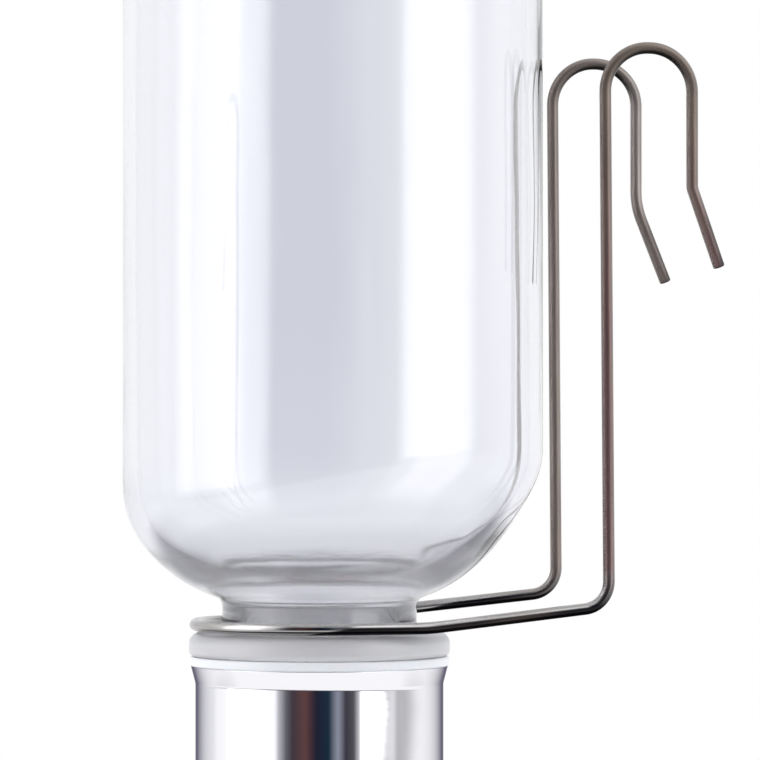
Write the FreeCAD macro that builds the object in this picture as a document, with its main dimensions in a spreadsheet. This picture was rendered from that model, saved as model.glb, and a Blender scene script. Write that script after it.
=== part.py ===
import FreeCAD, Part
import math
import os

import Sketcher

# Small animal water bottle, hung upside down from a wire hanger. All sizes are in millimetres.
# The origin is the point between the two hooks where the wire of a cage lies, +X points from
# the bottle to the hooks and +Z is up. The pieces on the neck axis share one local frame: its
# z = 0 is the middle of the hanger's ring, and heights below are given in that frame.

# Driving sizes, one row each: alias, value, what it is.
SIZES = [
    ("wire_diameter", 1.8, "hanger wire"),
    ("ring_radius", 19.0, "ring round the neck, to the middle of the wire"),
    ("leg_reach", 41.7, "neck axis to the foot of the legs"),
    ("leg_lean", 0.6, "how much nearer the top of a leg is"),
    ("leg_spacing", 31.0, "between the two legs"),
    ("hang_height", 88.0, "ring to the top of the hooks, middle of the wire"),
    ("hook_gap", 13.8, "leg to the hook's free side, middle of the wire"),
    ("hook_flat", 0.4, "straight stretch at the very top of a hook"),
    ("front_hook_drop", 21.3, "top of the front hook to its kink"),
    ("rear_hook_drop", 22.6, "top of the rear hook to its kink"),
    ("front_tip_out", 4.3, "how far the front hook's flared tip reaches outwards"),
    ("rear_tip_out", 4.9, "how far the rear hook's flared tip reaches outwards"),
    ("hook_tip_down", 12.1, "height of a flared tip"),
    ("front_kink_radius", 3.0, "kink above the front tip"),
    ("rear_kink_radius", 12.0, "softer kink above the rear tip"),
    ("leg_bend_radius", 4.2, "bend between an arm and its leg"),
    ("front_bend_radius", 30.0, "gentle bend where the front arm starts to rise"),
    ("rear_bend_radius", 14.0, "gentle bend where the rear arm starts to rise"),
    ("front_arm_bend", 11.4, "along +X, from where the front arm leaves the ring to its bend"),
    ("front_arm_rise", 3.0, "ring to the foot of the front leg"),
    ("rear_arm_bend", 1.4, "along +X, from where the rear arm leaves the ring to its bend"),
    ("rear_arm_rise", 4.1, "ring to the foot of the rear leg"),
    ("body_radius", 32.2, "outside of the glass body"),
    ("body_offset", 2.1, "body axis beyond the neck axis, towards the hooks"),
    ("body_top", 134.0, "ring to the bottle's base, which is up here"),
    ("glass_wall", 2.2, "wall of the body and shoulder"),
    ("base_thickness", 4.6, "glass at the base"),
    ("heel_radius", 7.0, "outer edge of the base"),
    ("inner_heel_radius", 5.0, "inner edge of the base"),
    ("push_up_radius", 21.0, "hollow in the middle of the base"),
    ("push_up_depth", 2.2, "depth of that hollow"),
    ("shoulder_radius", 24.0, "outer round of the shoulder"),
    ("inner_shoulder_radius", 20.2, "inner round, tighter, so the glass is thicker at the neck"),
    ("shoulder_top", 27.0, "ring to where the shoulder meets the body"),
    ("lean_height", 15.0, "stretch below shoulder_top over which the glass leaves the neck axis"),
    ("neck_radius", 14.9, "outside of the neck"),
    ("bore_radius", 12.6, "inside of the neck"),
    ("neck_fillet", 1.6, "between neck and shoulder"),
    ("bead_radius", 20.0, "glass bead under the ring"),
    ("bead_height", 3.6, "height of that bead"),
    ("bead_edge", 1.7, "round of the bead's edges"),
    ("finish_radius", 16.0, "threaded end of the neck, at the middle of its thread"),
    ("finish_length", 18.0, "bead to rim"),
    ("rim_edge", 0.9, "round of the rim"),
    ("ring_gap", 0.3, "wire ring above the bead"),
    ("cap_gap", 0.3, "collar of the cap below the bead"),
    ("thread_gap", 0.3, "play between the neck and the liner"),
    ("cap_radius", 19.0, "outside of the metal shell"),
    ("cap_wall", 0.5, "sheet of the shell"),
    ("cap_edge", 2.0, "outer round of the shell's end"),
    ("lip_flare", 0.7, "how far the shell's lip turns out"),
    ("lip_height", 2.7, "height of that lip"),
    ("lip_round", 2.5, "round where the lip starts to turn out"),
    ("collar_radius", 19.9, "white collar of the liner"),
    ("collar_height", 1.2, "height of the collar"),
    ("collar_edge", 0.4, "round of the collar"),
    ("liner_floor", 1.5, "end wall of the liner"),
    ("washer_thickness", 1.6, "sealing washer"),
    ("washer_hole", 9.0, "radius of the washer's hole"),
    ("washer_gap", 0.3, "washer inside the liner"),
    ("tube_radius", 4.75, "outside of the drinking tube"),
    ("tube_wall", 0.6, "wall of the tube"),
    ("tube_reach", 52.0, "tube below the cap"),
    ("tip_radius", 3.4, "opening of the rolled tip"),
    ("tip_round", 1.25, "outer round of the rolled tip"),
    ("flange_radius", 6.4, "rolled flange at the top of the tube"),
    ("grommet_flange", 8.0, "flanges of the grommet"),
    ("grommet_waist", 6.2, "grommet where it goes through the cap"),
    ("grommet_lip", 1.6, "thickness of a grommet flange"),
    ("grommet_edge", 0.5, "round of the grommet's flanges"),
    ("ball_radius", 3.95, "each of the two balls"),
    ("ball_gap", 0.1, "ball to its seat and to the other ball"),
    ("ball_lift", 2.0, "how far the balls can be pushed up"),
    ("crimp_radius", 3.5, "inside of the tube at the crimp that stops the balls"),
    ("crimp_half", 0.5, "half the height of the crimp's narrow part"),
    ("crimp_slope", 0.9, "height of each flank of the crimp"),
    ("crimp_round", 0.5, "rounds of the crimp"),
]

SHOULDER_STEPS = 8

doc = FreeCAD.newDocument("small_animal_water_bottle")
sheet = doc.addObject("Spreadsheet::Sheet", "Sizes")
for row, (alias, value, meaning) in enumerate(SIZES, start=1):
    sheet.set("A%d" % row, meaning)
    sheet.set("B%d" % row, str(value))
    sheet.setAlias("B%d" % row, alias)
doc.recompute()


def size(alias):
    return float(sheet.get(alias))


# Places that several pieces share, as expressions of the sheet's sizes.
NECK_X = "-(Sizes.leg_reach - Sizes.leg_lean + Sizes.hook_gap / 2)"
RING_Z = "(Sizes.wire_diameter / 2 - Sizes.hang_height)"
BEAD_TOP = "(-Sizes.wire_diameter / 2 - Sizes.ring_gap)"
BEAD_LOW = f"({BEAD_TOP} - Sizes.bead_height)"
RIM = f"({BEAD_LOW} - Sizes.finish_length)"
COLLAR_TOP = f"({BEAD_LOW} - Sizes.cap_gap)"
LIP_TOP = f"({COLLAR_TOP} - Sizes.collar_height)"
FLOOR_TOP = f"({RIM} - Sizes.washer_thickness)"
FLOOR_LOW = f"({FLOOR_TOP} - Sizes.liner_floor)"
CAP_END = f"({FLOOR_LOW} - Sizes.cap_wall)"
LIP_START = f"({LIP_TOP} - Sizes.lip_height)"
FLANGE_LOW = f"({FLOOR_TOP} + Sizes.grommet_lip)"
TUBE_TOP = f"({FLANGE_LOW} + Sizes.tube_wall)"
TUBE_TIP = f"({CAP_END} - Sizes.tube_reach)"
TUBE_BORE = "(Sizes.tube_radius - Sizes.tube_wall)"
BARREL_LOW = "(Sizes.shoulder_top + 2 * Sizes.glass_wall)"
LINER_BORE = "(Sizes.finish_radius + Sizes.thread_gap)"
SHELL_BORE = "(Sizes.cap_radius - Sizes.cap_wall)"
BALL_REACH = "(Sizes.ball_radius + Sizes.ball_gap)"
SEAT = f"({TUBE_TIP} + Sizes.tube_wall)"
LOWER_BALL = f"({SEAT} + sqrt(pow({BALL_REACH}; 2) - pow(Sizes.tip_radius; 2)))"
UPPER_BALL = f"({LOWER_BALL} + 2 * Sizes.ball_radius + Sizes.ball_gap)"
CRIMP = (
    f"({UPPER_BALL} + Sizes.ball_lift + Sizes.crimp_half"
    f" + sqrt(pow({BALL_REACH}; 2) - pow(Sizes.crimp_radius; 2)))"
)


def value_of(expression):
    return float(sheet.evalExpression(expression.replace("Sizes.", "")))


def neck_body(label):
    """An empty body whose local frame is the shared one on the neck axis."""
    body = doc.addObject("PartDesign::Body", label)
    body.Label = label
    body.setExpression("Placement.Base.x", NECK_X)
    body.setExpression("Placement.Base.z", RING_Z)
    return body


def origin_plane(body, role):
    return next(item for item in body.Origin.OriginFeatures if item.Role == role)


def circle_sketch(body, name, radius, height, shift="0"):
    """A level circle, its centre `shift` from the neck axis along +X."""
    sketch = body.newObject("Sketcher::SketchObject", name)
    sketch.AttachmentSupport = (origin_plane(body, "XY_Plane"), [""])
    sketch.MapMode = "FlatFace"
    sketch.setExpression("AttachmentOffset.Base.x", shift)
    sketch.setExpression("AttachmentOffset.Base.z", height)
    circle = Part.Circle(FreeCAD.Vector(0, 0, 0), FreeCAD.Vector(0, 0, 1), value_of(radius))
    index = sketch.addGeometry(circle, False)
    sketch.addConstraint(Sketcher.Constraint("Coincident", index, 3, -1, 1))
    limit = sketch.addConstraint(Sketcher.Constraint("Radius", index, value_of(radius)))
    sketch.renameConstraint(limit, "radius")
    sketch.setExpression("Constraints.radius", radius)
    return sketch


def outline_sketch(body, name, corners):
    """A closed outline in the local XZ plane through corners (radius, height)."""
    sketch = body.newObject("Sketcher::SketchObject", name)
    sketch.AttachmentSupport = (origin_plane(body, "XZ_Plane"), [""])
    sketch.MapMode = "FlatFace"
    places = [FreeCAD.Vector(value_of(x), value_of(y), 0) for x, y in corners]
    count = len(places)
    for index, place in enumerate(places):
        sketch.addGeometry(Part.LineSegment(place, places[(index + 1) % count]), False)
    for index in range(count):
        following = (index + 1) % count
        sketch.addConstraint(Sketcher.Constraint("Coincident", index, 2, following, 1))
    for index, (x, y) in enumerate(corners):
        for kind, letter, text in (("DistanceX", "x", x), ("DistanceY", "y", y)):
            limit = sketch.addConstraint(
                Sketcher.Constraint(kind, -1, 1, index, 1, value_of(text))
            )
            sketch.renameConstraint(limit, "%s%d" % (letter, index))
            sketch.setExpression("Constraints.%s%d" % (letter, index), text)
    return sketch


def turned(body, name, corners, cut=False):
    """Turns a closed outline once round the local Z axis, to add or to cut."""
    sketch = outline_sketch(body, name + "_outline", corners)
    kind = "PartDesign::Groove" if cut else "PartDesign::Revolution"
    feature = body.newObject(kind, name)
    feature.Profile = sketch
    feature.ReferenceAxis = (sketch, ["V_Axis"])
    feature.Angle = 360.0
    doc.recompute()
    return feature


def round_edges(body, name, radius, circles):
    """Rounds the circular edges given by (radius, height), as expressions."""
    base = body.Tip
    wanted = [(value_of(edge_radius), value_of(height)) for edge_radius, height in circles]
    names = []
    for number, edge in enumerate(base.Shape.Edges, start=1):
        heights = [edge.valueAt(place).z for place in edge.ParameterRange]
        heights.append(edge.CenterOfMass.z)
        for edge_radius, height in wanted:
            same_length = abs(edge.Length - 2 * math.pi * edge_radius) < 1e-3
            if same_length and max(abs(z - height) for z in heights) < 1e-4:
                names.append("Edge%d" % number)
    if len(names) < len(wanted):
        raise RuntimeError("%s: found %d of %d edges" % (name, len(names), len(wanted)))
    fillet = body.newObject("PartDesign::Fillet", name)
    fillet.Base = (base, names)
    fillet.setExpression("Radius", radius)
    doc.recompute()
    return fillet


# Wire hanger: one length of wire, bent on round formers. Its path starts at the front hook's
# tip, goes over the hook, down the leg, along the arm, round the neck and back the same way.

def bent_path(corners, radii):
    """Straight runs between corners, each corner rounded by a tangent arc."""
    edges = []
    start = corners[0]
    for before, corner, after, radius in zip(corners, corners[1:], corners[2:], radii):
        way_in = (corner - before).normalize()
        way_out = (after - corner).normalize()
        turn = way_in.getAngle(way_out)
        inwards = (way_out - way_in).normalize()
        reach = radius * math.tan(turn / 2)
        arc_start = corner - way_in * reach
        arc_end = corner + way_out * reach
        centre = corner + inwards * (radius / math.cos(turn / 2))
        edges.append(Part.LineSegment(start, arc_start).toShape())
        edges.append(Part.Arc(arc_start, centre - inwards * radius, arc_end).toShape())
        start = arc_end
    edges.append(Part.LineSegment(start, corners[-1]).toShape())
    return edges


def hanger_side(name, side):
    """One arm, leg and hook, from the ring outwards; side is -1 at the front, 1 at the rear."""
    leg_y = side * size("leg_spacing") / 2
    arm_bend = size(name + "_arm_bend")
    arm_rise = size(name + "_arm_rise")
    foot = FreeCAD.Vector(size("leg_reach"), leg_y, arm_rise)
    distance = math.hypot(foot.x, foot.y)
    tangent_angle = side * (
        math.atan2(abs(leg_y), foot.x) + math.acos(size("ring_radius") / distance)
    )
    on_ring = FreeCAD.Vector(math.cos(tangent_angle), math.sin(tangent_angle), 0)
    on_ring = on_ring * size("ring_radius")
    share = arm_bend / (foot.x - on_ring.x)
    bend_y = on_ring.y + (foot.y - on_ring.y) * share
    bend = FreeCAD.Vector(on_ring.x + arm_bend, bend_y, 0)
    top = size("hang_height")
    near = size("leg_reach") - size("leg_lean")
    far = near + size("hook_gap")
    kink = top - size(name + "_hook_drop")
    tip_x = far + size(name + "_tip_out")
    corners = [
        on_ring,
        bend,
        foot,
        FreeCAD.Vector(near, leg_y, top),
        FreeCAD.Vector(far, leg_y, top),
        FreeCAD.Vector(far, leg_y, kink),
        FreeCAD.Vector(tip_x, leg_y, kink - size("hook_tip_down")),
    ]
    hook_radius = (size("hook_gap") - size("hook_flat")) / 2
    radii = [
        size(name + "_bend_radius"),
        size("leg_bend_radius"),
        hook_radius,
        hook_radius,
        size(name + "_kink_radius"),
    ]
    return corners, bent_path(corners, radii)


def make_hanger():
    front_corners, front = hanger_side("front", -1)
    rear_corners, rear = hanger_side("rear", 1)
    far_side = FreeCAD.Vector(-size("ring_radius"), 0, 0)
    ring = Part.Arc(front_corners[0], far_side, rear_corners[0]).toShape()
    path = doc.addObject("Part::Feature", "hanger_path")
    path.Shape = Part.Wire(list(reversed(front)) + [ring] + rear)
    tip = front_corners[-1]
    along = front_corners[-2] - tip
    profile = doc.addObject("Part::Circle", "hanger_profile")
    profile.setExpression("Radius", "Sizes.wire_diameter / 2")
    profile.Placement = FreeCAD.Placement(
        tip, FreeCAD.Rotation(FreeCAD.Vector(0, 0, 1), along)
    )
    hanger = doc.addObject("Part::Sweep", "wire_hanger")
    hanger.Label = "wire_hanger"
    hanger.Sections = [profile]
    hanger.Spine = (path, ["Edge%d" % (i + 1) for i in range(len(path.Shape.Edges))])
    hanger.Solid = True
    hanger.Frenet = False
    hanger.setExpression("Placement.Base.x", NECK_X)
    hanger.setExpression("Placement.Base.z", RING_Z)
    doc.recompute()
    return hanger


# Bottle: blown clear glass. The round of the shoulder is lofted through level circles, because
# the body stands a little off the neck axis, towards the hooks.

def shoulder_sections(arc, reach, end_radius):
    """(radius, height, shift) of the circles from the neck up to the straight body."""
    centre = f"({reach} - {arc})"
    whole_turn = f"acos(({end_radius} - {centre}) / {arc})"
    sections = []
    for step in range(SHOULDER_STEPS, -1, -1):
        angle = f"({whole_turn} * {step} / {SHOULDER_STEPS})"
        radius = f"({centre} + {arc} * cos({angle}))"
        height = f"(Sizes.shoulder_top - {arc} * sin({angle}))"
        sections.append((radius, height, lean_at(height)))
    for height in ("(Sizes.shoulder_top + Sizes.glass_wall)", BARREL_LOW):
        sections.append((reach, height, "Sizes.body_offset"))
    return sections


def lean_at(height):
    """How far the glass stands off the neck axis at a height of the shoulder, in a smooth S."""
    share = f"max(1 - (Sizes.shoulder_top - {height}) / Sizes.lean_height; 0)"
    return f"(Sizes.body_offset * (1 - cos(180 * {share})) / 2)"


def lofted(body, name, sections, cut=False):
    sketches = [
        circle_sketch(body, "%s_circle_%d" % (name, number), radius, height, shift)
        for number, (radius, height, shift) in enumerate(sections)
    ]
    kind = "PartDesign::SubtractiveLoft" if cut else "PartDesign::AdditiveLoft"
    loft = body.newObject(kind, name)
    loft.Profile = sketches[0]
    loft.Sections = sketches[1:]
    doc.recompute()
    return loft


def column(body, name, radius, low, high, cut=False):
    """A straight round stretch on the body axis between two heights."""
    sketch = circle_sketch(body, name + "_circle", radius, low, "Sizes.body_offset")
    kind = "PartDesign::Pocket" if cut else "PartDesign::Pad"
    feature = body.newObject(kind, name)
    feature.Profile = sketch
    feature.setExpression("Length", f"{high} - {low}")
    feature.Reversed = cut
    doc.recompute()
    return feature


def push_up(body):
    """The shallow dome pressed into the middle of the base."""
    radius = value_of("Sizes.push_up_radius")
    depth = value_of("Sizes.push_up_depth")
    top = value_of("Sizes.body_top")
    dome = (radius * radius + depth * depth) / (2 * depth)
    centre = FreeCAD.Vector(0, top - depth + dome, 0)
    lowest = FreeCAD.Vector(0, top - depth, 0)
    edge = FreeCAD.Vector(radius, top, 0)
    middle = FreeCAD.Vector(0, top, 0)
    sketch = body.newObject("Sketcher::SketchObject", "push_up_outline")
    sketch.AttachmentSupport = (origin_plane(body, "XZ_Plane"), [""])
    sketch.MapMode = "FlatFace"
    sketch.setExpression("AttachmentOffset.Base.x", "Sizes.body_offset")
    end_angle = math.atan2(edge.y - centre.y, edge.x - centre.x)
    circle = Part.Circle(centre, FreeCAD.Vector(0, 0, 1), dome)
    sketch.addGeometry(Part.ArcOfCircle(circle, -math.pi / 2, end_angle), False)
    sketch.addGeometry(Part.LineSegment(edge, middle), False)
    sketch.addGeometry(Part.LineSegment(middle, lowest), False)
    sketch.addConstraint([
        Sketcher.Constraint("Coincident", 0, 2, 1, 1),
        Sketcher.Constraint("Coincident", 1, 2, 2, 1),
        Sketcher.Constraint("Coincident", 2, 2, 0, 1),
        Sketcher.Constraint("PointOnObject", 0, 3, -2),
        Sketcher.Constraint("PointOnObject", 1, 2, -2),
        Sketcher.Constraint("PointOnObject", 0, 1, -2),
        Sketcher.Constraint("Horizontal", 1),
    ])
    limits = (
        ("width", "DistanceX", (1, 2, 1, 1), "Sizes.push_up_radius"),
        ("depth", "DistanceY", (0, 1, 1, 2), "Sizes.push_up_depth"),
        ("level", "DistanceY", (-1, 1, 1, 2), "Sizes.body_top"),
    )
    for name, kind, ends, text in limits:
        index = sketch.addConstraint(Sketcher.Constraint(kind, *ends, value_of(text)))
        sketch.renameConstraint(index, name)
        sketch.setExpression("Constraints." + name, text)
    groove = body.newObject("PartDesign::Groove", "push_up")
    groove.Profile = sketch
    groove.ReferenceAxis = (sketch, ["V_Axis"])
    groove.Angle = 360.0
    doc.recompute()
    return groove


def make_bottle():
    body = neck_body("bottle")
    inner_radius = "(Sizes.body_radius - Sizes.glass_wall)"
    inner_top = "(Sizes.body_top - Sizes.base_thickness)"
    outside = shoulder_sections("Sizes.shoulder_radius", "Sizes.body_radius", "Sizes.neck_radius")
    inside = shoulder_sections("Sizes.inner_shoulder_radius", inner_radius, "Sizes.bore_radius")
    root = outside[0][1]
    bore_top = inside[0][1]
    lofted(body, "shoulder", outside)
    column(body, "barrel", "Sizes.body_radius", BARREL_LOW, "Sizes.body_top")
    turned(body, "neck", [
        ("0", root),
        ("Sizes.neck_radius", root),
        ("Sizes.neck_radius", BEAD_TOP),
        ("Sizes.bead_radius", BEAD_TOP),
        ("Sizes.bead_radius", BEAD_LOW),
        ("Sizes.finish_radius", BEAD_LOW),
        ("Sizes.finish_radius", RIM),
        ("0", RIM),
    ])
    round_edges(body, "heel", "Sizes.heel_radius", [("Sizes.body_radius", "Sizes.body_top")])
    round_edges(body, "bead_edges", "Sizes.bead_edge", [
        ("Sizes.bead_radius", BEAD_TOP),
        ("Sizes.bead_radius", BEAD_LOW),
    ])
    round_edges(body, "neck_root", "Sizes.neck_fillet", [("Sizes.neck_radius", root)])
    lofted(body, "shoulder_inside", inside, cut=True)
    column(body, "barrel_inside", inner_radius, BARREL_LOW, inner_top, cut=True)
    turned(body, "bore", [
        ("0", bore_top),
        ("Sizes.bore_radius", bore_top),
        ("Sizes.bore_radius", RIM),
        ("0", RIM),
    ], cut=True)
    round_edges(body, "inner_heel", "Sizes.inner_heel_radius", [(inner_radius, inner_top)])
    round_edges(body, "rim", "Sizes.rim_edge", [("Sizes.finish_radius", RIM)])
    push_up(body)
    return body


# Cap: a drawn metal shell with a flared lip over a white threaded liner, whose collar shows
# between the lip and the glass bead. The two turn as one.

def make_cap_shell():
    body = neck_body("cap_shell")
    lip_radius = "(Sizes.cap_radius + Sizes.lip_flare)"
    turned(body, "cup", [
        ("Sizes.grommet_waist", CAP_END),
        ("Sizes.cap_radius", CAP_END),
        ("Sizes.cap_radius", LIP_START),
        (lip_radius, LIP_TOP),
        (f"({lip_radius} - Sizes.cap_wall)", LIP_TOP),
        (SHELL_BORE, LIP_START),
        (SHELL_BORE, FLOOR_LOW),
        ("Sizes.grommet_waist", FLOOR_LOW),
    ])
    round_edges(body, "outer_edge", "Sizes.cap_edge", [("Sizes.cap_radius", CAP_END)])
    round_edges(body, "inner_edge", "Sizes.cap_edge - Sizes.cap_wall", [(SHELL_BORE, FLOOR_LOW)])
    round_edges(body, "lip_outside", "Sizes.lip_round", [("Sizes.cap_radius", LIP_START)])
    round_edges(body, "lip_inside", "Sizes.lip_round + Sizes.cap_wall", [(SHELL_BORE, LIP_START)])
    return body


def make_cap_liner():
    body = neck_body("cap_liner")
    turned(body, "cup", [
        ("Sizes.grommet_waist", FLOOR_LOW),
        (SHELL_BORE, FLOOR_LOW),
        (SHELL_BORE, LIP_TOP),
        ("Sizes.collar_radius", LIP_TOP),
        ("Sizes.collar_radius", COLLAR_TOP),
        (LINER_BORE, COLLAR_TOP),
        (LINER_BORE, FLOOR_TOP),
        ("Sizes.grommet_waist", FLOOR_TOP),
    ])
    round_edges(body, "floor_edge", "Sizes.cap_edge - Sizes.cap_wall", [(SHELL_BORE, FLOOR_LOW)])
    round_edges(body, "collar_edges", "Sizes.collar_edge", [
        ("Sizes.collar_radius", LIP_TOP),
        ("Sizes.collar_radius", COLLAR_TOP),
    ])
    return body


# Sealing washer: lies between the glass rim and the floor of the liner.

def make_sealing_washer():
    body = neck_body("sealing_washer")
    outside = f"({LINER_BORE} - Sizes.washer_gap)"
    turned(body, "ring", [
        ("Sizes.washer_hole", FLOOR_TOP),
        (outside, FLOOR_TOP),
        (outside, RIM),
        ("Sizes.washer_hole", RIM),
    ])
    return body


# Drinking tube: steel, with a rolled-in tip that holds the lower ball, a crimp that keeps both
# balls down and a rolled flange that hangs on the grommet.

def make_drinking_tube():
    body = neck_body("drinking_tube")
    crimp_outside = "(Sizes.crimp_radius + Sizes.tube_wall)"
    low_flank = f"({CRIMP} - Sizes.crimp_half - Sizes.crimp_slope)"
    low_end = f"({CRIMP} - Sizes.crimp_half)"
    high_end = f"({CRIMP} + Sizes.crimp_half)"
    high_flank = f"({CRIMP} + Sizes.crimp_half + Sizes.crimp_slope)"
    turned(body, "wall", [
        ("Sizes.tip_radius", TUBE_TIP),
        ("Sizes.tube_radius", TUBE_TIP),
        ("Sizes.tube_radius", low_flank),
        (crimp_outside, low_end),
        (crimp_outside, high_end),
        ("Sizes.tube_radius", high_flank),
        ("Sizes.tube_radius", FLANGE_LOW),
        ("Sizes.flange_radius", FLANGE_LOW),
        ("Sizes.flange_radius", TUBE_TOP),
        (TUBE_BORE, TUBE_TOP),
        (TUBE_BORE, high_flank),
        ("Sizes.crimp_radius", high_end),
        ("Sizes.crimp_radius", low_end),
        (TUBE_BORE, low_flank),
        (TUBE_BORE, SEAT),
        ("Sizes.tip_radius", SEAT),
    ])
    round_edges(body, "tip_outside", "Sizes.tip_round", [("Sizes.tube_radius", TUBE_TIP)])
    round_edges(body, "tip_inside", "Sizes.tip_round - Sizes.tube_wall", [(TUBE_BORE, SEAT)])
    round_edges(body, "crimp_rounds", "Sizes.crimp_round", [
        ("Sizes.tube_radius", low_flank),
        (crimp_outside, low_end),
        (crimp_outside, high_end),
        ("Sizes.tube_radius", high_flank),
        (TUBE_BORE, high_flank),
        ("Sizes.crimp_radius", high_end),
        ("Sizes.crimp_radius", low_end),
        (TUBE_BORE, low_flank),
    ])
    return body


# Grommet: rubber, buttoned through the end of the cap and gripping the tube.

def make_tube_grommet():
    body = neck_body("tube_grommet")
    lowest = f"({CAP_END} - Sizes.grommet_lip)"
    turned(body, "ring", [
        ("Sizes.tube_radius", lowest),
        ("Sizes.grommet_flange", lowest),
        ("Sizes.grommet_flange", CAP_END),
        ("Sizes.grommet_waist", CAP_END),
        ("Sizes.grommet_waist", FLOOR_TOP),
        ("Sizes.grommet_flange", FLOOR_TOP),
        ("Sizes.grommet_flange", FLANGE_LOW),
        ("Sizes.tube_radius", FLANGE_LOW),
    ])
    round_edges(body, "flange_edges", "Sizes.grommet_edge", [
        ("Sizes.grommet_flange", lowest),
        ("Sizes.grommet_flange", FLANGE_LOW),
    ])
    return body


# The two steel balls that close the tube, one on the other.


def make_ball(label, height):
    ball = doc.addObject("Part::Sphere", label)
    ball.Label = label
    ball.setExpression("Radius", "Sizes.ball_radius")
    ball.setExpression("Placement.Base.x", NECK_X)
    ball.setExpression("Placement.Base.z", f"{RING_Z} + {height}")
    doc.recompute()
    return ball


pieces = [
    make_hanger(),
    make_bottle(),
    make_cap_shell(),
    make_cap_liner(),
    make_sealing_washer(),
    make_drinking_tube(),
    make_tube_grommet(),
    make_ball("lower_ball", LOWER_BALL),
    make_ball("upper_ball", UPPER_BALL),
]

# Every object must have recomputed, and every piece must be one sound solid.
doc.recompute()
for item in doc.Objects:
    if "Invalid" in item.State or "Error" in item.State:
        raise RuntimeError("%s did not recompute: %s" % (item.Name, item.State))
for piece in pieces:
    shape = piece.Shape
    if shape.isNull() or not shape.isValid() or len(shape.Solids) != 1:
        raise RuntimeError("%s is not one valid solid" % piece.Label)

os.makedirs("parts", exist_ok=True)
for piece in pieces:
    piece.Shape.exportStep("parts/%s.step" % piece.Label)
    print("%s: %.1f cubic millimetres" % (piece.Label, piece.Shape.Volume))
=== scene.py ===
import math

import bmesh
import bpy
import numpy as np
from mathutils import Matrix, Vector


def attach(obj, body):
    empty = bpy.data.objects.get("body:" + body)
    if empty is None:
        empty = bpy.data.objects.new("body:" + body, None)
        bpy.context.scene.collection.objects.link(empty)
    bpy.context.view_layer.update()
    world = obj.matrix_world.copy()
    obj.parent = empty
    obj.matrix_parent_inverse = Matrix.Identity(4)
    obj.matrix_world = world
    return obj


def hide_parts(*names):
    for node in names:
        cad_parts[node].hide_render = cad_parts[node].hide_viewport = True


# Small animal water bottle of clear glass, hung upside down from a wire hanger. Shapes are written
# in millimetres in the frame of the neck axis, whose zero height is the middle of the wire ring,
# and are moved into the row frame, in metres, as each mesh is made.

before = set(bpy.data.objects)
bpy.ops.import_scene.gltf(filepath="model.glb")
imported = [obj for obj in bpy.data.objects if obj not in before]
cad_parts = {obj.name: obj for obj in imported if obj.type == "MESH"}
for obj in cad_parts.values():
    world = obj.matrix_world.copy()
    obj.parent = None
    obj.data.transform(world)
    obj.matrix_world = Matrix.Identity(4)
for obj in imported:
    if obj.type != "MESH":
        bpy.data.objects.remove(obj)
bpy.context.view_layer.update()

MM = 0.001
NECK = np.array((-48.0, 0.0, -87.1))

# Bottle
BODY_RADIUS = 32.2
BODY_OFFSET = 2.1
BODY_TOP = 134.0
GLASS_WALL = 2.2
BASE_WALL = 4.6
PUSH_UP_RADIUS = 21.0
PUSH_UP_DEPTH = 2.2
SHOULDER_RADIUS = 24.0
INNER_SHOULDER_RADIUS = 20.2
SHOULDER_TOP = 27.0
LEAN_HEIGHT = 15.0
NECK_RADIUS = 14.9
BORE_RADIUS = 12.6
NECK_BLEND = 1.6
INNER_NECK_BLEND = 10.0
BEAD_RADIUS = 20.0
BEAD_TOP = -1.2
BEAD_LOW = -4.8
FINISH_RADIUS = 16.0
RIM = -22.8

# Thread of the glass and the liner
THREAD_PITCH = 4.2
THREAD_TURNS = 2.25
THREAD_LOW = -19.4
THREAD_ROOT_DEPTH = 0.7
GLASS_RIDGE = 0.92
GLASS_RIDGE_HALF_WIDTH = 0.95
LINER_RIDGE = 0.72
LINER_RIDGE_HALF_WIDTH = 0.72

# Hanger
WIRE_RADIUS = 0.9
RING_RADIUS = 19.0
HOOK_TOP = 88.0
LEG_REACH = 41.7
LEG_LEAN = 0.6
LEG_SPACING = 31.0
HOOK_GAP = 13.8
HOOK_FLAT = 0.4
LEG_BEND = 4.2
TIP_DROP = 12.1

# Cap, liner, washer, tube and grommet
CAP_RADIUS = 19.0
SHELL_BORE = 18.5
LIP_RADIUS = 19.7
LIP_TOP = -6.3
LIP_START = -9.0
CAP_END = -26.4
TUBE_HOLE = 6.2
LINER_BORE = 16.3
COLLAR_RADIUS = 19.9
COLLAR_TOP = -4.85
FLOOR_TOP = -24.4
FLOOR_LOW = -25.9
WASHER_BORE = 9.0
WASHER_RADIUS = 16.0
TUBE_RADIUS = 4.75
TUBE_BORE = 4.15
TUBE_SHEET = 0.6
TUBE_MOUTH = 3.4
TUBE_END = -78.4
FLANGE_RADIUS = 6.4
CRIMP_HEIGHT = -63.06
CRIMP_RADIUS = 4.1
CRIMP_BORE = 3.5
GROMMET_RADIUS = 8.0
GROMMET_LIP = 1.6


# Mesh helpers

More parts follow.
